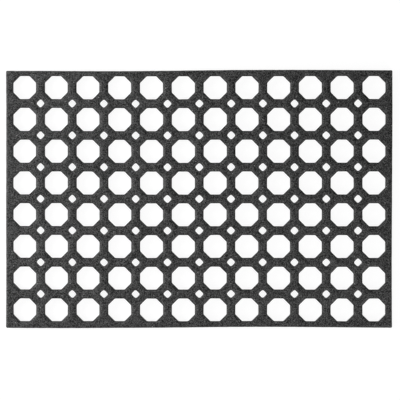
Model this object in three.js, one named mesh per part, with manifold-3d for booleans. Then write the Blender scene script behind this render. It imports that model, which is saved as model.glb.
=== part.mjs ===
// Open-lattice rubber door mat, 600 x 400 x 16 mm, moulded in one pour.
//
// Octagonal cells stand in 12 columns and 8 rows. A small drain hole, a square set on its corner
// with its corners rounded off, lies wherever four cells meet. Every opening goes right through
// and has a sloped rim on the tread side. Small feet under the ribs lift the mat for drainage.
//
// The moulding is one piece of rubber. It is written here as a border of four bars and eleven
// ribs that meet face to face, because a lattice of simple members keeps its openings open in
// collision. All of them belong to one rigid body.
//
// Units are millimetres. +Z is up, +X runs along the length, and the origin is on the floor
// under the middle of the mat.

import * as THREE from "three";
import { mergeVertices } from "three/addons/utils/BufferGeometryUtils.js";
import Module from "manifold-3d";

// Driving dimensions
const LENGTH = 600;
const WIDTH = 400;
const HEIGHT = 16; // feet included
const COLUMNS = 12;
const ROWS = 8;
const PITCH = 49.4; // from cell to cell, both ways
const CELL_FLATS = 36.0; // across the flats of an octagonal cell
const DRAIN_FLATS = 10.2; // across the flats of a drain hole
const DRAIN_CUT = 1.6; // taken off each corner of a drain hole
const RIM_RUN = 4.0; // width of the sloped rim round each opening, seen from above
const RIM_DROP = 1.2; // height of that slope
const EDGE_RUN = 1.6; // the same for the mat's outer edge
const EDGE_DROP = 1.2;
const CORNER_CUT = 2.0; // taken off the mat's four corners
const FOOT_HEIGHT = 2.0;
const FOOT_TIP_RADIUS = 2.8;
const FOOT_ROOT_RADIUS = 3.6;
const FOOT_SIDES = 8;
const FOOT_INSET = 9; // from the mat's outer edge to the feet under the border

// Worked out from the driving dimensions
const SLAB = HEIGHT - FOOT_HEIGHT; // the lattice without its feet
const OVER = 5; // how far a cutting tool runs past the rubber
const SIDE_BAR = (WIDTH - (ROWS - 1) * PITCH - CELL_FLATS) / 2; // front and back bars, in Y
const BAR_LINE = WIDTH / 2 - SIDE_BAR; // inner face of the front and back bars
const cellX = (column) => (column - (COLUMNS - 1) / 2) * PITCH;
const cellY = (row) => (row - (ROWS - 1) / 2) * PITCH;
const drainX = (column) => cellX(column) + PITCH / 2;
const drainY = (row) => cellY(row) + PITCH / 2;

const wasm = await Module();
wasm.setup();

const rubber = { color: 0x3f3f3f, roughness: 0.72, metalness: 0 };

// A closed geometry as a solid that can be joined and cut.
function solid(geometry) {
  const bare = geometry.index ? geometry.toNonIndexed() : geometry.clone();
  bare.deleteAttribute("normal");
  bare.deleteAttribute("uv");
  const merged = mergeVertices(bare, 1e-4);
  return new wasm.Manifold(
    new wasm.Mesh({
      numProp: 3,
      vertProperties: merged.attributes.position.array,
      triVerts: new Uint32Array(merged.index.array),
    }),
  );
}

// A solid as a named mesh.
function piece(name, body) {
  const mesh = body.getMesh();
  const geometry = new THREE.BufferGeometry()
    .setAttribute("position", new THREE.BufferAttribute(mesh.vertProperties, 3))
    .setIndex(new THREE.BufferAttribute(mesh.triVerts, 1));
  geometry.computeVertexNormals();
  const made = new THREE.Mesh(geometry, new THREE.MeshStandardMaterial(rubber));
  made.name = name;
  return made;
}

// A polygon of equal angles whose sides alternate between two distances from the centre:
// the octagon has one distance, and a square with cut corners has two.
function eightSided(flat, corner) {
  const shape = new THREE.Shape();
  for (let i = 0; i < 8; i++) {
    const here = i % 2 ? corner : flat;
    const next = i % 2 ? flat : corner;
    const along = (next - here * Math.SQRT1_2) * Math.SQRT2; // from the foot of this side's normal
    const turn = (i * Math.PI) / 4;
    const x = here * Math.cos(turn) - along * Math.sin(turn);
    const y = here * Math.sin(turn) + along * Math.cos(turn);
    if (i) shape.lineTo(x, y);
    else shape.moveTo(x, y);
  }
  shape.closePath();
  return shape;
}

function rectangleWithCutCorners(length, width, cut) {
  const shape = new THREE.Shape();
  const [x, y] = [length / 2, width / 2];
  shape.moveTo(x, -y + cut);
  shape.lineTo(x, y - cut);
  shape.lineTo(x - cut, y);
  shape.lineTo(-x + cut, y);
  shape.lineTo(-x, y - cut);
  shape.lineTo(-x, -y + cut);
  shape.lineTo(-x + cut, -y);
  shape.lineTo(x - cut, -y);
  shape.closePath();
  return shape;
}

// The tool for one opening: a straight shaft, and a flare that leaves the sloped rim.
function openingTool(shape) {
  const shaft = new THREE.ExtrudeGeometry(shape, { depth: HEIGHT + OVER, bevelEnabled: false });
  const flare = new THREE.ExtrudeGeometry(shape, {
    depth: OVER,
    bevelThickness: RIM_DROP,
    bevelSize: RIM_RUN,
    bevelSegments: 1,
  });
  return solid(shaft).add(solid(flare).translate([0, 0, HEIGHT]));
}

// The mat's outline as a plain slab, sloped off along its upper edge.
function blank() {
  const shape = rectangleWithCutCorners(LENGTH, WIDTH, CORNER_CUT);
  const body = new THREE.ExtrudeGeometry(shape, {
    depth: SLAB - EDGE_DROP,
    bevelThickness: EDGE_DROP,
    bevelSize: EDGE_RUN,
    bevelOffset: -EDGE_RUN,
    bevelSegments: 1,
  });
  const square = box(-LENGTH, LENGTH, -WIDTH, WIDTH, FOOT_HEIGHT, HEIGHT);
  return solid(body).translate([0, 0, FOOT_HEIGHT]).intersect(square);
}

function box(x0, x1, y0, y1, z0, z1) {
  const geometry = new THREE.BoxGeometry(x1 - x0, y1 - y0, z1 - z0);
  geometry.translate((x0 + x1) / 2, (y0 + y1) / 2, (z0 + z1) / 2);
  return solid(geometry);
}

function foot(x, y) {
  const geometry = new THREE.CylinderGeometry(
    FOOT_ROOT_RADIUS,
    FOOT_TIP_RADIUS,
    FOOT_HEIGHT,
    FOOT_SIDES,
  );
  geometry.rotateY(Math.PI / FOOT_SIDES); // a flat, not a corner, faces along the rib
  geometry.rotateX(Math.PI / 2);
  geometry.translate(x, y, FOOT_HEIGHT / 2);
  return solid(geometry);
}

const indices = (count) => [...Array(count).keys()];
const pairs = (columns, rows) => columns.flatMap((c) => rows.map((r) => [c, r]));

const cellTool = openingTool(eightSided(CELL_FLATS / 2, CELL_FLATS / 2));
const drainHalf = DRAIN_FLATS / 2;
const drainTool = openingTool(eightSided(drainHalf * Math.SQRT2 - DRAIN_CUT, drainHalf));
const slab = blank();

// The part of the lattice between x0 and x1 and between y0 and y1, with its feet.
function member(x0, x1, y0, y1, feet) {
  const reach = PITCH / 2;
  const near = ([x, y]) => x > x0 - reach && x < x1 + reach && y > y0 - reach && y < y1 + reach;
  let body = slab.intersect(box(x0, x1, y0, y1, 0, HEIGHT));
  const cells = pairs(indices(COLUMNS), indices(ROWS)).map(([c, r]) => [cellX(c), cellY(r)]);
  for (const [x, y] of cells.filter(near)) body = body.subtract(cellTool.translate([x, y, 0]));
  const drains = pairs(indices(COLUMNS - 1), indices(ROWS - 1)).map(([c, r]) => [
    drainX(c),
    drainY(r),
  ]);
  for (const [x, y] of drains.filter(near)) body = body.subtract(drainTool.translate([x, y, 0]));
  for (const [x, y] of feet) body = body.add(foot(x, y));
  return body;
}

function rib(column) {
  const feet = indices(ROWS).map((row) => [drainX(column), cellY(row)]);
  return member(cellX(column), cellX(column + 1), -BAR_LINE, BAR_LINE, feet);
}

function sideBorder(side) {
  const feet = indices(ROWS - 1).map((row) => [side * (LENGTH / 2 - FOOT_INSET), drainY(row)]);
  const [outer, inner] = [LENGTH / 2, cellX(COLUMNS - 1)];
  const [x0, x1] = side > 0 ? [inner, outer] : [-outer, -inner];
  return member(x0, x1, -BAR_LINE, BAR_LINE, feet);
}

function endBorder(side) {
  const [y0, y1] = side > 0 ? [BAR_LINE, WIDTH / 2] : [-WIDTH / 2, -BAR_LINE];
  return member(-LENGTH / 2, LENGTH / 2, y0, y1, []);
}

const mat = new THREE.Group();
mat.add(piece("front_border", endBorder(-1)));
mat.add(piece("back_border", endBorder(1)));
mat.add(piece("left_border", sideBorder(-1)));
mat.add(piece("right_border", sideBorder(1)));
for (const column of indices(COLUMNS - 1)) {
  const number = String(column + 1).padStart(2, "0");
  mat.add(piece(`rib_${number}`, rib(column)));
}

export default mat;
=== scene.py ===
"""Open-lattice rubber door mat: one moulding with octagonal cells, drain holes and short feet.

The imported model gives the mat's outside sizes, the spacing of its cells and the height of its
feet. The moulding is built round them in metres as one closed mesh, and takes the place of the
simple members that stand for it in collision.
"""

from __future__ import annotations

import logging
import math
from collections.abc import Callable
from dataclasses import dataclass
from enum import Enum

import bmesh
import bpy
from mathutils import Matrix, Vector, geometry, noise

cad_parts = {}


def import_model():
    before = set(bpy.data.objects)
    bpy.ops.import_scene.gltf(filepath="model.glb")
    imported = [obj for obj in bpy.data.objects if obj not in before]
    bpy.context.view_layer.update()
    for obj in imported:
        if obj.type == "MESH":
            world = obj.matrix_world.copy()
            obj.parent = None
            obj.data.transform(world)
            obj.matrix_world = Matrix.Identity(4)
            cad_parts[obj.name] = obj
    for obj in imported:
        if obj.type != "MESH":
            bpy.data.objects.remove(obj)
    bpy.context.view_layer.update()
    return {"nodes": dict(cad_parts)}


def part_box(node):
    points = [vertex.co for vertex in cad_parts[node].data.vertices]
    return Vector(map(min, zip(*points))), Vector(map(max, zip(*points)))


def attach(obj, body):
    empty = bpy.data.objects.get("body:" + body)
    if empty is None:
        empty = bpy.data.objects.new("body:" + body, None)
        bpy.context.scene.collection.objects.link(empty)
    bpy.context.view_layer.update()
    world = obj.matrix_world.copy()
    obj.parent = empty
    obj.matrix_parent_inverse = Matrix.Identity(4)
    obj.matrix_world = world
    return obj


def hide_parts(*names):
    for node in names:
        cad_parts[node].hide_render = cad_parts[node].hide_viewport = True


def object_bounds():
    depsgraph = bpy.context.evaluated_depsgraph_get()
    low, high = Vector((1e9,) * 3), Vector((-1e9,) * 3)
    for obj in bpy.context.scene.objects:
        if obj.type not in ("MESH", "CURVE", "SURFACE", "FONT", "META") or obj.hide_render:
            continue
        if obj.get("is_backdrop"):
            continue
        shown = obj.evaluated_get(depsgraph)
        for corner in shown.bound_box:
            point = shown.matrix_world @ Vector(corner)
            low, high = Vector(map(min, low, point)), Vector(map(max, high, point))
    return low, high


LOG = logging.getLogger("door_mat")
MM = 0.001
BODY = "root"
INSIDE = 1  # the kind of filling that stays inside the loops it is given
CLOSE = 1e-6  # heights nearer than this, in metres, count as equal
MERGE = 1e-7  # corners nearer than this, in metres, would be joined by the filling


class Face(Enum):
    """The two flat faces of the lattice."""

    TREAD = 1
    UNDERSIDE = -1


@dataclass(frozen=True)
class Layout:
    """Where everything on the mat lies, in metres.

    Args:
        length: Outside size along X.
        width: Outside size along Y.
        top: Height of the tread face above the floor.
        bottom: Height of the lattice's underside, which is the height of the feet.
        pitch: Distance from one cell to the next, both ways.
        columns: Cells along X.
        rows: Cells along Y.
        cell_flats: Size of a cell across its flats.
    """

    length: float
    width: float
    top: float
    bottom: float
    pitch: float
    columns: int
    rows: int
    cell_flats: float

    @classmethod
    def from_frame(cls) -> Layout:
        """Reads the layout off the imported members.

        Returns:
            The layout.
        """
        low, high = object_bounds()
        rib_low, rib_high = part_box("rib_01")
        bar_low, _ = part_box("front_border")
        pitch = rib_high.x - rib_low.x
        length, width = high.x - low.x, high.y - low.y
        rows = round((rib_high.y - rib_low.y) / pitch)
        return cls(
            length=length,
            width=width,
            top=high.z,
            bottom=bar_low.z,
            pitch=pitch,
            columns=math.floor(length / pitch),
            rows=rows,
            cell_flats=rib_high.y - rib_low.y - (rows - 1) * pitch,
        )

    def grid(self, columns: int, rows: int) -> list[Vector]:
        """Lists the points of a grid at the mat's pitch, centred on the mat.

        Args:
            columns: Points along X.
            rows: Points along Y.

        Returns:
            The points, at height zero.
        """
        first_x, first_y = -(columns - 1) / 2, -(rows - 1) / 2
        return [
            Vector(((first_x + column) * self.pitch, (first_y + row) * self.pitch, 0))
            for column in range(columns)
            for row in range(rows)
        ]

    def cells(self) -> list[Vector]:
        """Lists the centres of the octagonal cells."""
        return self.grid(self.columns, self.rows)

    def drains(self) -> list[Vector]:
        """Lists the centres of the drain holes, one where each four cells meet."""
        return self.grid(self.columns - 1, self.rows - 1)

    def feet(self, inset: float) -> list[Vector]:
        """Lists the centres of the feet, which stand on the ribs and under the side borders.

        Args:
            inset: Distance from the mat's ends to the feet under the side borders.

        Returns:
            The centres, at height zero.
        """
        under_ribs = self.grid(self.columns - 1, self.rows)
        side = self.length / 2 - inset
        heights = sorted({point.y for point in self.drains()})
        under_sides = [Vector((end * side, y, 0)) for end in (-1, 1) for y in heights]
        return under_ribs + under_sides


@dataclass(frozen=True)
class Rim:
    """The section of the rubber at an edge, from the tread face over the rim to the underside.

    Args:
        run: Width of the sloped rim, seen from above.
        drop: Height of that slope.
        crease: Length of the rounding where the slope starts.
        lip: Length of the rounding between the slope and the wall.
        heel: Length of the rounding between the wall and the underside.
        margin: Width of the flat ring that keeps each flat face's shading flat.
        steps: Facets over each rounding.
    """

    run: float
    drop: float
    crease: float = 1.3 * MM
    lip: float = 0.3 * MM
    heel: float = 0.4 * MM
    margin: float = 0.35 * MM
    steps: int = 2

    def rings(self, layout: Layout) -> list[tuple[float, float]]:
        """Lists the rings of the section.

        Args:
            layout: The mat's layout, for its heights.

        Returns:
            Pairs of the distance from the wall into the rubber and the height above the floor.
        """
        start = Vector((self.run + self.crease + self.margin, layout.top))
        crest = Vector((self.run, layout.top))
        shoulder = Vector((0.0, layout.top - self.drop))
        foot = Vector((0.0, layout.bottom))
        end = Vector((self.heel + self.margin, layout.bottom))
        section = [start]
        section += self.rounded(start, crest, shoulder, self.crease)
        section += self.rounded(crest, shoulder, foot, self.lip)
        section += self.rounded(shoulder, foot, end, self.heel)
        section.append(end)
        return [(point.x, point.y) for point in section]

    def rounded(
        self, before: Vector, corner: Vector, after: Vector, length: float
    ) -> list[Vector]:
        """Rounds a corner of the section.

        Args:
            before: The point before the corner.
            corner: The corner.
            after: The point after it.
            length: Distance from the corner to each end of the rounding.

        Returns:
            The points along the rounding.
        """
        first = corner + (before - corner).normalized() * length
        last = corner + (after - corner).normalized() * length
        points = []
        for step in range(self.steps + 1):
            share = step / self.steps
            points.append(first.lerp(corner, share).lerp(corner.lerp(last, share), share))
        return points


@dataclass(frozen=True)
class Outline:
    """The plan of a hole: a regular polygon with rounded corners.

    Args:
        sides: Number of sides.
        turn: Angle from the +X axis to the first corner.
        flats: Size across its flats.
        rounding: Length taken off each side at a corner.
        facets: Facets round each corner.
        cuts: Points added along each side.
    """

    sides: int
    turn: float
    flats: float
    rounding: float
    facets: int
    cuts: int

    def draw(self, bm: bmesh.types.BMesh, out: float) -> list[bmesh.types.BMEdge]:
        """Draws the outline, grown by a distance.

        Args:
            bm: Mesh to draw in.
            out: Distance from the wall out to the loop that is drawn.

        Returns:
            The edges of the loop.
        """
        growth = 1 + 2 * out / self.flats
        rounding = self.rounding * growth
        radius = self.flats / 2 * growth / math.cos(math.pi / self.sides)
        turned = Matrix.Rotation(self.turn, 4, "Z")
        made = bmesh.ops.create_circle(bm, segments=self.sides, radius=radius, matrix=turned)
        bmesh.ops.bevel(
            bm,
            geom=made["verts"],
            offset=rounding,
            segments=self.facets,
            profile=0.5,
            affect="VERTICES",
            material=-1,
        )
        longest_facet = 1.2 * rounding
        sides = [edge for edge in bm.edges if edge.calc_length() > longest_facet]
        bmesh.ops.subdivide_edges(bm, edges=sides, cuts=self.cuts)
        return list(bm.edges)


def rectangle(
    bm: bmesh.types.BMesh, half: Vector, rounding: float, facets: int, step: float
) -> list[bmesh.types.BMEdge]:
    """Draws a rectangle with rounded corners.

    Args:
        bm: Mesh to draw in.
        half: Half of its length and width.
        rounding: Radius of its corners.
        facets: Facets round each corner.
        step: Longest edge to leave along a side.

    Returns:
        The edges of the loop.
    """
    made = bmesh.ops.create_grid(bm, x_segments=1, y_segments=1, size=1)
    bmesh.ops.scale(bm, vec=(half.x, half.y, 1), verts=made["verts"])
    bmesh.ops.delete(bm, geom=list(bm.faces), context="FACES_ONLY")
    bmesh.ops.bevel(
        bm,
        geom=made["verts"],
        offset=rounding,
        segments=facets,
        profile=0.5,
        affect="VERTICES",
        material=-1,
    )
    longest_facet = 10 * rounding
    for edge in [edge for edge in bm.edges if edge.calc_length() > longest_facet]:
        cuts = math.floor(edge.calc_length() / step)
        bmesh.ops.subdivide_edges(bm, edges=[edge], cuts=cuts)
    return list(bm.edges)


def sweep_section(
    bm: bmesh.types.BMesh,
    loop: list[bmesh.types.BMEdge],
    section: list[tuple[float, float]],
    half_at: Callable[[float], Vector],
) -> None:
    """Carries a loop along a section, ring by ring, and so makes an edge's whole surface.

    Args:
        bm: Mesh that holds the loop, drawn at height zero and at the section's first ring.
        loop: Edges of the loop.
        section: Pairs of the distance from the wall into the rubber and the height.
        half_at: Gives the loop's half sizes at a distance from the wall.
    """
    out, height = section[0]
    verts = list(dict.fromkeys(vert for edge in loop for vert in edge.verts))
    bmesh.ops.translate(bm, vec=(0, 0, height), verts=verts)
    for next_out, next_height in section[1:]:
        grown = bmesh.ops.extrude_edge_only(bm, edges=loop)["geom"]
        verts = [item for item in grown if isinstance(item, bmesh.types.BMVert)]
        loop = [item for item in grown if isinstance(item, bmesh.types.BMEdge)]
        loop = [edge for edge in loop if all(vert in verts for vert in edge.verts)]
        was, now = half_at(out), half_at(next_out)
        bmesh.ops.scale(bm, vec=(now.x / was.x, now.y / was.y, 1), verts=verts)
        bmesh.ops.translate(bm, vec=(0, 0, next_height - height), verts=verts)
        out, height = next_out, next_height


@dataclass(frozen=True)
class Opening:
    """A hole through the lattice.

    Args:
        outline: Its plan.
        rim: Section round it.
    """

    outline: Outline
    rim: Rim

    def mesh(self, layout: Layout) -> bpy.types.Mesh:
        """Builds the surface round one hole, centred on the origin.

        Args:
            layout: The mat's layout.

        Returns:
            A mesh that is open along the tread face and the underside.
        """
        half = self.outline.flats / 2

        def half_at(out: float) -> Vector:
            """Gives the half sizes of the loop at a distance from the wall."""
            return Vector((half + out, half + out))

        bm = bmesh.new()
        section = self.rim.rings(layout)
        loop = self.outline.draw(bm, section[0][0])
        sweep_section(bm, loop, section, half_at)
        return finished_mesh(bm, "opening")


@dataclass(frozen=True)
class Foot:
    """A short round foot under the lattice.

    Args:
        tip: Radius of its tip.
        root: Radius where it meets the underside.
        sides: Facets round it.
        rounding: Width of the rounding at its tip.
    """

    tip: float = 2.8 * MM
    root: float = 3.6 * MM
    sides: int = 12
    rounding: float = 0.4 * MM

    def mesh(self, layout: Layout) -> bpy.types.Mesh:
        """Builds one foot, centred on the origin.

        Args:
            layout: The mat's layout.

        Returns:
            A mesh that is open where it meets the underside.
        """
        radii = [self.root, self.tip, self.tip - self.rounding]
        heights = [layout.bottom, self.rounding, 0.0]
        bm = bmesh.new()
        bmesh.ops.create_circle(bm, segments=self.sides, radius=self.root)

        def half_at(out: float) -> Vector:
            """Gives the half sizes of the loop at a distance from the root."""
            return Vector((self.root - out, self.root - out))

        section = [(self.root - radius, height) for radius, height in zip(radii, heights)]
        sweep_section(bm, list(bm.edges), section, half_at)
        tip = [edge for edge in bm.edges if all(vert.co.z < CLOSE for vert in edge.verts)]
        bmesh.ops.contextual_create(bm, geom=tip)
        return finished_mesh(bm, "foot")


def finished_mesh(bm: bmesh.types.BMesh, name: str) -> bpy.types.Mesh:
    """Turns a bmesh into a mesh and frees it.

    Args:
        bm: The bmesh.
        name: Name of the mesh.

    Returns:
        The mesh.
    """
    mesh = bpy.data.meshes.new(name)
    bm.to_mesh(mesh)
    bm.free()
    return mesh


@dataclass(frozen=True)
class Unevenness:
    """How far the moulded rubber strays from its drawing.

    Args:
        trim: Slow drift of the outline, where the sheet was trimmed.
        trim_span: Length over which that drift changes.
        wander: Slow drift of the whole sheet.
        wander_span: Length over which that drift changes.
        ripple: Small waves along the edges.
        ripple_span: Length of those waves.
        seed: Picks one unevenness out of many, the same one in every run.
    """

    trim: float = 2.1 * MM
    trim_span: float = 320 * MM
    wander: float = 0.45 * MM
    wander_span: float = 160 * MM
    ripple: float = 0.18 * MM
    ripple_span: float = 4.5 * MM
    seed: int = 707

    def trim_shift(self, point: Vector) -> Vector:
        """Gives the shift of a point on the outline, which is added to its other shift.

        Args:
            point: The point, in metres.

        Returns:
            Its shift, which lies in the sheet's plane.
        """
        moved = noise.noise_vector(Vector((point.x, point.y, 0)) / self.trim_span) * self.trim
        return Vector((moved.x, moved.y, 0))

    def shift(self, point: Vector) -> Vector:
        """Gives the sideways shift of a point.

        Args:
            point: The point, in metres.

        Returns:
            Its shift, which lies in the sheet's plane.
        """
        slow = noise.noise_vector(Vector((point.x, point.y, 0)) / self.wander_span)
        quick = noise.noise_vector(point / self.ripple_span)
        moved = slow * self.wander + quick * self.ripple
        return Vector((moved.x, moved.y, 0))


@dataclass(frozen=True)
class RubberFinish:
    """Matt moulded rubber with a fine grain, cloudy tone, a little dust and painted shade along
    the lips.

    Args:
        dark: Colour of the darkest patches, and of the painted shade along the lips.
        light: Colour of the lightest patches.
        lip_shade_height: Height of the lips, where painted shade makes the rubber darkest.
        lip_shade_band: How far above and below that height the painted shade reaches.
        dust: Colour of the dust specks.
        dust_size: Radius of the largest specks.
        dust_spacing: Distance between the spots where a speck may lie.
        smoothest: Roughness of the darkest patches.
        roughest: Roughness of the lightest patches.
        dust_chosen: Part of a pattern's range from which its spots begin to show as specks.
        dust_full: Part of that range from which they show in full.
        specular: Strength of the mirror-like reflection.
        grain: Size of the grain.
        mottle: Size of the mottling.
        mottle_share: Share of the mottling in the tone.
        cloud: Size of the slow change of tone.
        cloud_share: Share of that change in the tone.
        octaves: Octaves of finer detail in the mottling and in the slow change.
        darkest_tone: Value of the mixed patterns that is drawn darkest.
        lightest_tone: Value of the mixed patterns that is drawn lightest.
        relief: Height of the mottling's bumps.
    """

    dark: tuple[float, float, float] = (0.003, 0.003, 0.003)
    light: tuple[float, float, float] = (0.118, 0.118, 0.118)
    # Height and width of the painted shade band along the lips of the openings.
    lip_shade_height: float = 14.5 * MM
    lip_shade_band: float = 0.5 * MM
    dust: tuple[float, float, float] = (0.40, 0.40, 0.40)
    dust_size: float = 0.9 * MM
    dust_spacing: float = 2.6 * MM
    smoothest: float = 0.42
    roughest: float = 0.62
    dust_chosen: float = 0.96
    dust_full: float = 0.99
    specular: float = 0.4
    grain: float = 0.9 * MM
    mottle: float = 1.8 * MM
    mottle_share: float = 0.2
    cloud: float = 60 * MM
    cloud_share: float = 0.1
    octaves: int = 2
    darkest_tone: float = 0.40
    lightest_tone: float = 0.69
    relief: float = 0.35 * MM

    def make(self) -> bpy.types.Material:
        """Builds the material.

        Returns:
            The material.
        """
        material = bpy.data.materials.new("moulded_rubber")
        material.use_nodes = True
        tree = material.node_tree
        tree.nodes.clear()
        place = tree.nodes.new("ShaderNodeTexCoord")
        grain = self.granules(tree, place)
        mottle = self.noise(tree, place, self.mottle)
        cloud = self.noise(tree, place, self.cloud)

        tone = self.add(tree, grain, mottle, self.mottle_share)
        tone = self.add(tree, tone, cloud, self.cloud_share)
        colour = tree.nodes.new("ShaderNodeMix")
        colour.data_type = "RGBA"
        colour.inputs["A"].default_value = (*self.dark, 1)
        colour.inputs["B"].default_value = (*self.light, 1)
        spread = self.spread(tree, tone, self.darkest_tone, self.lightest_tone)
        tree.links.new(spread, colour.inputs["Factor"])

        # Painted shade: a thin band at the lips' height is drawn in the darkest colour, as a
        # dark line round the edges of the openings.
        lip_shaded = tree.nodes.new("ShaderNodeMix")
        lip_shaded.data_type = "RGBA"
        lip_shaded.inputs["A"].default_value = (*self.dark, 1)
        tree.links.new(colour.outputs["Result"], lip_shaded.inputs["B"])
        tree.links.new(self.away_from_lip_shade(tree, place), lip_shaded.inputs["Factor"])

        dusty = tree.nodes.new("ShaderNodeMix")
        dusty.data_type = "RGBA"
        dusty.inputs["B"].default_value = (*self.dust, 1)
        tree.links.new(lip_shaded.outputs["Result"], dusty.inputs["A"])
        tree.links.new(self.specks(tree, place), dusty.inputs["Factor"])

        roughness = tree.nodes.new("ShaderNodeMapRange")
        roughness.inputs["To Min"].default_value = self.smoothest
        roughness.inputs["To Max"].default_value = self.roughest
        tree.links.new(spread, roughness.inputs["Value"])

        bump = tree.nodes.new("ShaderNodeBump")
        bump.inputs["Strength"].default_value = 1.0
        bump.inputs["Distance"].default_value = self.relief
        tree.links.new(mottle, bump.inputs["Height"])

        shader = tree.nodes.new("ShaderNodeBsdfPrincipled")
        shader.inputs["Specular IOR Level"].default_value = self.specular
        tree.links.new(dusty.outputs["Result"], shader.inputs["Base Color"])
        tree.links.new(roughness.outputs["Result"], shader.inputs["Roughness"])
        tree.links.new(bump.outputs["Normal"], shader.inputs["Normal"])
        output = tree.nodes.new("ShaderNodeOutputMaterial")
        tree.links.new(shader.outputs["BSDF"], output.inputs["Surface"])
        return material

    def noise(
        self, tree: bpy.types.NodeTree, place: bpy.types.Node, size: float
    ) -> bpy.types.NodeSocket:
        """Adds a noise pattern.

        Args:
            tree: Node tree.
            place: The coordinate node.
            size: Size of the pattern's patches.

        Returns:
            The socket with the pattern, from 0 to 1.
        """
        pattern = tree.nodes.new("ShaderNodeTexNoise")
        pattern.inputs["Scale"].default_value = 1 / size
        pattern.inputs["Detail"].default_value = self.octaves
        tree.links.new(place.outputs["Object"], pattern.inputs["Vector"])
        return pattern.outputs["Fac"]

    def granules(
        self, tree: bpy.types.NodeTree, place: bpy.types.Node
    ) -> bpy.types.NodeSocket:
        """Adds a pattern of small granules, each of one tone.

        Args:
            tree: Node tree.
            place: The coordinate node.

        Returns:
            The socket with the pattern, from 0 to 1.
        """
        pattern = tree.nodes.new("ShaderNodeTexVoronoi")
        pattern.inputs["Scale"].default_value = 1 / self.grain
        tree.links.new(place.outputs["Object"], pattern.inputs["Vector"])
        channels = tree.nodes.new("ShaderNodeSeparateColor")
        tree.links.new(pattern.outputs["Color"], channels.inputs["Color"])
        return channels.outputs["Red"]

    def add(
        self,
        tree: bpy.types.NodeTree,
        first: bpy.types.NodeSocket,
        second: bpy.types.NodeSocket,
        share: float,
    ) -> bpy.types.NodeSocket:
        """Mixes two patterns.

        Args:
            tree: Node tree.
            first: One pattern.
            second: The other pattern.
            share: Share of the second pattern.

        Returns:
            The socket with the mix.
        """
        mix = tree.nodes.new("ShaderNodeMix")
        mix.inputs["Factor"].default_value = share
        tree.links.new(first, mix.inputs["A"])
        tree.links.new(second, mix.inputs["B"])
        return mix.outputs["Result"]

    def spread(
        self, tree: bpy.types.NodeTree, pattern: bpy.types.NodeSocket, low: float, high: float
    ) -> bpy.types.NodeSocket:
        """Stretches a band of a pattern over the whole range from 0 to 1.

        Args:
            tree: Node tree.
            pattern: The pattern.
            low: Value that becomes 0.
            high: Value that becomes 1.

        Returns:
            The socket with the stretched pattern.
        """
        stretched = tree.nodes.new("ShaderNodeMapRange")
        stretched.inputs["From Min"].default_value = low
        stretched.inputs["From Max"].default_value = high
        tree.links.new(pattern, stretched.inputs["Value"])
        return stretched.outputs["Result"]

    def away_from_lip_shade(
        self, tree: bpy.types.NodeTree, place: bpy.types.Node
    ) -> bpy.types.NodeSocket:
        """Tells the painted shade line along the lips of the openings from the rest.

        Args:
            tree: Node tree.
            place: The coordinate node.

        Returns:
            The socket with 0 on the line and 1 away from it.
        """
        axes = tree.nodes.new("ShaderNodeSeparateXYZ")
        tree.links.new(place.outputs["Object"], axes.inputs["Vector"])
        above = tree.nodes.new("ShaderNodeMath")
        above.operation = "SUBTRACT"
        above.inputs[1].default_value = self.lip_shade_height
        tree.links.new(axes.outputs["Z"], above.inputs[0])
        away = tree.nodes.new("ShaderNodeMath")
        away.operation = "ABSOLUTE"
        tree.links.new(above.outputs["Value"], away.inputs[0])
        return self.spread(tree, away.outputs["Value"], self.lip_shade_band / 2, self.lip_shade_band)

    def specks(self, tree: bpy.types.NodeTree, place: bpy.types.Node) -> bpy.types.NodeSocket:
        """Scatters dust specks, which lie in a few of a pattern's many small cells.

        Args:
            tree: Node tree.
            place: The coordinate node.

        Returns:
            The socket with the specks, 1 on a speck and 0 elsewhere.
        """
        cells = tree.nodes.new("ShaderNodeTexVoronoi")
        cells.inputs["Scale"].default_value = 1 / self.dust_spacing
        tree.links.new(place.outputs["Object"], cells.inputs["Vector"])
        size = tree.nodes.new("ShaderNodeMapRange")
        size.inputs["From Min"].default_value = self.dust_size / self.dust_spacing
        size.inputs["From Max"].default_value = self.dust_size / self.dust_spacing / 2
        tree.links.new(cells.outputs["Distance"], size.inputs["Value"])
        chosen = tree.nodes.new("ShaderNodeSeparateColor")
        tree.links.new(cells.outputs["Color"], chosen.inputs["Color"])
        few = tree.nodes.new("ShaderNodeMapRange")
        few.inputs["From Min"].default_value = self.dust_chosen
        few.inputs["From Max"].default_value = self.dust_full
        tree.links.new(chosen.outputs["Red"], few.inputs["Value"])
        both = tree.nodes.new("ShaderNodeMath")
        both.operation = "MULTIPLY"
        tree.links.new(size.outputs["Result"], both.inputs[0])
        tree.links.new(few.outputs["Result"], both.inputs[1])
        return both.outputs["Value"]


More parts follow.
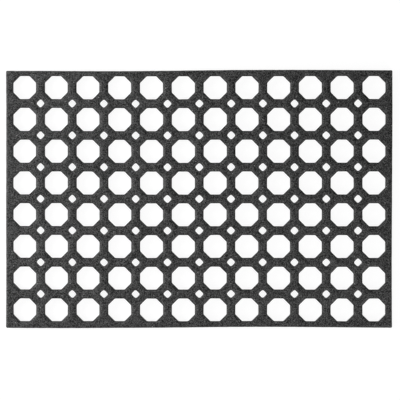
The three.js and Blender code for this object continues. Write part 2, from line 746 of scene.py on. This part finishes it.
@dataclass
class Moulding:
    """The mat itself, one closed sheet of rubber.

    Args:
        layout: Where everything lies.
        cell_rim: Section round a cell.
        drain_rim: Section round a drain hole.
        edge: Section along the mat's outline.
        flash: How far a cell's walls stand proud of their drawing.
        cell_rounding: Length taken off a cell's sides at each corner.
        drain_flats: Size of a drain hole across its flats.
        drain_rounding: Length taken off a drain hole's sides at each corner.
        corner: Radius of the mat's corners.
        corner_facets: Facets round each of them.
        outline_step: Longest edge along the mat's outline.
        foot: The foot under it.
        foot_inset: Distance from the mat's ends to the feet under the side borders.
        unevenness: How far the rubber strays from its drawing.
        finish: The rubber's finish.
    """

    layout: Layout
    cell_rim: Rim = Rim(run=4.0 * MM, drop=1.5 * MM)
    drain_rim: Rim = Rim(run=3.0 * MM, drop=1.2 * MM)
    edge: Rim = Rim(run=1.6 * MM, drop=1.2 * MM, crease=0.8 * MM)
    flash: float = 0.12 * MM
    cell_rounding: float = 1.2 * MM
    drain_flats: float = 10.2 * MM
    drain_rounding: float = 2.85 * MM
    corner: float = 2.0 * MM
    corner_facets: int = 5
    outline_step: float = 5 * MM
    foot: Foot = Foot()
    foot_inset: float = 9.0 * MM
    unevenness: Unevenness = Unevenness()
    finish: RubberFinish = RubberFinish()

    def build(self) -> bpy.types.Object:
        """Builds the moulding and dresses it.

        Returns:
            The finished object.
        """
        noise.seed_set(self.unevenness.seed)
        bm = bmesh.new()
        self.add_openings(bm)
        self.add_outline(bm)
        self.add_feet(bm)
        for vert in bm.verts:
            vert.co += self.unevenness.shift(vert.co)
        for face in Face:
            self.fill(bm, face)
        bmesh.ops.recalc_face_normals(bm, faces=list(bm.faces))
        for face in bm.faces:
            face.smooth = True
        mesh = finished_mesh(bm, "rubber_moulding")
        piece = bpy.data.objects.new("rubber_moulding", mesh)
        bpy.context.scene.collection.objects.link(piece)
        mesh.materials.append(self.finish.make())
        return piece

    def add_openings(self, bm: bmesh.types.BMesh) -> None:
        """Adds the surfaces round every cell and every drain hole.

        Args:
            bm: Mesh to add to.
        """
        octagon = Outline(
            sides=8,
            turn=math.pi / 8,
            flats=self.layout.cell_flats - 2 * self.flash,
            rounding=self.cell_rounding,
            facets=2,
            cuts=3,
        )
        diamond = Outline(
            sides=4,
            turn=0.0,
            flats=self.drain_flats,
            rounding=self.drain_rounding,
            facets=4,
            cuts=1,
        )
        cell = Opening(octagon, self.cell_rim)
        drain = Opening(diamond, self.drain_rim)
        self.lay(bm, cell.mesh(self.layout), self.layout.cells())
        self.lay(bm, drain.mesh(self.layout), self.layout.drains())

    def add_outline(self, bm: bmesh.types.BMesh) -> None:
        """Adds the surface round the mat's outline.

        Args:
            bm: Mesh to add to.
        """
        half = Vector((self.layout.length / 2, self.layout.width / 2))

        def half_at(out: float) -> Vector:
            """Gives the outline's half sizes at a distance in from the edge."""
            return Vector((half.x - out, half.y - out))

        section = self.edge.rings(self.layout)
        reach = section[0][0]
        outline = bmesh.new()
        loop = rectangle(
            outline, half_at(reach), self.corner, self.corner_facets, self.outline_step
        )
        sweep_section(outline, loop, section, half_at)
        # The wall moves by the whole drift. The innermost loop of the tread face stays where it
        # is, and so it can't cross the loops round the cells, which lie close to it.
        for vert in outline.verts:
            inset = min(half.x - abs(vert.co.x), half.y - abs(vert.co.y))
            low = vert.co.z < self.layout.top / 2
            share = 1.0 if low else 1.0 - inset / reach
            vert.co += self.unevenness.trim_shift(vert.co) * share
        self.lay(bm, finished_mesh(outline, "outline"), [Vector()])

    def add_feet(self, bm: bmesh.types.BMesh) -> None:
        """Adds the feet.

        Args:
            bm: Mesh to add to.
        """
        self.lay(bm, self.foot.mesh(self.layout), self.layout.feet(self.foot_inset))

    def lay(self, bm: bmesh.types.BMesh, part: bpy.types.Mesh, places: list[Vector]) -> None:
        """Lays copies of a part at a list of places.

        Args:
            bm: Mesh to add to.
            part: The part, centred on the origin. It is removed afterwards.
            places: Where its copies go.
        """
        for place in places:
            before = len(bm.verts)
            bm.from_mesh(part)
            bm.verts.ensure_lookup_table()
            bmesh.ops.translate(bm, vec=place, verts=bm.verts[before:])
        bpy.data.meshes.remove(part)

    def fill(self, bm: bmesh.types.BMesh, face: Face) -> None:
        """Closes one flat face of the lattice, between all the open loops that lie in it.

        Args:
            bm: Mesh to add to.
            face: Which face.
        """
        height = self.layout.top if face is Face.TREAD else self.layout.bottom
        rims = [
            edge
            for edge in bm.edges
            if edge.is_boundary and all(abs(vert.co.z - height) < CLOSE for vert in edge.verts)
        ]
        verts = []
        rings = []
        for loop in in_order(rims):
            rings.append(list(range(len(verts), len(verts) + len(loop))))
            verts.extend(loop)
        plan = [vert.co.xy for vert in verts]
        filling = geometry.delaunay_2d_cdt(plan, [], rings, INSIDE, MERGE)
        triangles, rings_round_each = filling[2], filling[5]
        for triangle, rings_round in zip(triangles, rings_round_each):
            # Rubber lies within the outline's ring alone. A hole lies within its own ring too.
            if len(rings_round) == 1:
                bm.faces.new([verts[number] for number in triangle])


def in_order(edges: list[bmesh.types.BMEdge]) -> list[list[bmesh.types.BMVert]]:
    """Sorts the edges of closed loops.

    Args:
        edges: The edges of all the loops, in any order.

    Returns:
        The corners of each loop, anticlockwise as seen from above.
    """
    beside: dict[bmesh.types.BMVert, list[bmesh.types.BMVert]] = {}
    for edge in edges:
        for vert in edge.verts:
            beside.setdefault(vert, []).append(edge.other_vert(vert))
    loops = []
    while beside:
        loop = []
        vert = next(iter(beside))
        while vert:
            loop.append(vert)
            vert = next((other for other in beside.pop(vert) if other in beside), None)
        area = sum(a.co.xy.cross(b.co.xy) for a, b in zip(loop, loop[1:] + loop[:1]))
        loops.append(loop if area > 0 else loop[::-1])
    return loops


@dataclass(frozen=True)
class Lamp:
    """A square soft light that faces the mat.

    Args:
        name: Its name.
        place: Where it stands.
        size: Length of its sides.
        power: Its power in watts.
    """

    name: str
    place: Vector
    size: float
    power: float

    def build(self) -> None:
        """Sets the lamp up."""
        data = bpy.data.lights.new(self.name, "AREA")
        data.shape = "SQUARE"
        data.size = self.size
        data.energy = self.power
        lamp = bpy.data.objects.new(self.name, data)
        lamp.location = self.place
        lamp.rotation_euler = (-self.place).to_track_quat("-Z", "Y").to_euler()
        lamp.visible_camera = False
        bpy.context.scene.collection.objects.link(lamp)


@dataclass(frozen=True)
class Studio:
    """Plain pale floor, soft light and the camera.

    Args:
        lamps: The soft lights.
        floor_size: Length of the floor's sides.
        backdrop_height: Height of the round backdrop at the floor's edge.
        backdrop_facets: Facets round that backdrop.
        floor_colour: Colour of the floor and the backdrop.
        floor_roughness: Their roughness.
        floor_glow: Light that they give off, as a lit table does.
        sky: Light that comes evenly from all round.
        camera: Where the camera stands.
        aim: Point that it looks at.
        view_width: Width of what it sees at that point.
        view_depth: How far away it still sees things.
    """

    lamps: tuple[Lamp, ...] = (
        Lamp("left", Vector((-1.1, 0.05, 0.82)), 0.5, 10.0),
        Lamp("left_front", Vector((-0.4, -0.6, 1.3)), 0.5, 1.6),
        Lamp("right_front", Vector((0.72, -0.8, 0.9)), 0.5, 5.2),
        Lamp("back", Vector((-0.4, 1.1, 1.15)), 0.3, 5.0),
    )
    floor_size: float = 12.0
    backdrop_height: float = 0.9
    backdrop_facets: int = 96
    floor_colour: tuple[float, float, float] = (0.14, 0.14, 0.14)
    floor_roughness: float = 0.9
    floor_glow: float = 0.93
    sky: float = 0.005
    camera: Vector = Vector((0.0482, 0.0765, 4.5))
    aim: Vector = Vector((0.0013, -0.0017, 0.016))
    view_width: float = 0.6216
    view_depth: float = 100.0

    def build(self) -> None:
        """Sets up the floor, the lights and the camera."""
        self.add_floor()
        for lamp in self.lamps:
            lamp.build()
        world = bpy.data.worlds.new("studio")
        world.use_nodes = True
        background = world.node_tree.nodes["Background"]
        background.inputs["Color"].default_value = (1, 1, 1, 1)
        background.inputs["Strength"].default_value = self.sky
        bpy.context.scene.world = world
        bpy.context.scene.view_settings.view_transform = "Standard"
        self.add_camera()

    def add_floor(self) -> None:
        """Adds the floor and a round backdrop, which aren't part of the mat."""
        radius = self.floor_size / 2
        floor = bmesh.new()
        bmesh.ops.create_grid(floor, x_segments=1, y_segments=1, size=radius)
        backdrop = bmesh.new()
        bmesh.ops.create_circle(backdrop, segments=self.backdrop_facets, radius=radius)
        wall = bmesh.ops.extrude_edge_only(backdrop, edges=list(backdrop.edges))["geom"]
        raised = [item for item in wall if isinstance(item, bmesh.types.BMVert)]
        bmesh.ops.translate(backdrop, vec=(0, 0, self.backdrop_height), verts=raised)

        material = bpy.data.materials.new("pale_floor")
        material.use_nodes = True
        shader = material.node_tree.nodes["Principled BSDF"]
        shader.inputs["Base Color"].default_value = (*self.floor_colour, 1)
        shader.inputs["Roughness"].default_value = self.floor_roughness
        shader.inputs["Emission Color"].default_value = (1, 1, 1, 1)
        shader.inputs["Emission Strength"].default_value = self.floor_glow
        for name, shape in (("floor", floor), ("backdrop", backdrop)):
            piece = bpy.data.objects.new(name, finished_mesh(shape, name))
            bpy.context.scene.collection.objects.link(piece)
            piece.data.materials.append(material)
            piece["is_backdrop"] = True

    def add_camera(self) -> None:
        """Adds the camera, which looks down on the mat through a long lens."""
        data = bpy.data.cameras.new("camera")
        line = self.aim - self.camera
        data.lens = data.sensor_width * line.length / self.view_width
        data.clip_end = self.view_depth
        backward = -line.normalized()
        right = Vector((0, 1, 0)).cross(backward).normalized()
        upward = backward.cross(right)
        camera = bpy.data.objects.new("camera", data)
        camera.location = self.camera
        camera.rotation_euler = Matrix((right, upward, backward)).transposed().to_euler()
        bpy.context.scene.collection.objects.link(camera)
        bpy.context.scene.camera = camera


def main() -> None:
    """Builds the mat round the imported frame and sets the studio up."""
    logging.basicConfig(level=logging.INFO, format="%(name)s: %(message)s")
    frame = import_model()
    layout = Layout.from_frame()
    LOG.info("layout: %s", layout)

    mat = Moulding(layout).build()
    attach(mat, BODY)
    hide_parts(*frame["nodes"])
    mat.data.calc_loop_triangles()
    LOG.info("%s: %d triangles", mat.name, len(mat.data.loop_triangles))

    Studio().build()
    LOG.info("studio: floor, lights and camera")


if __name__ == "__main__":
    main()
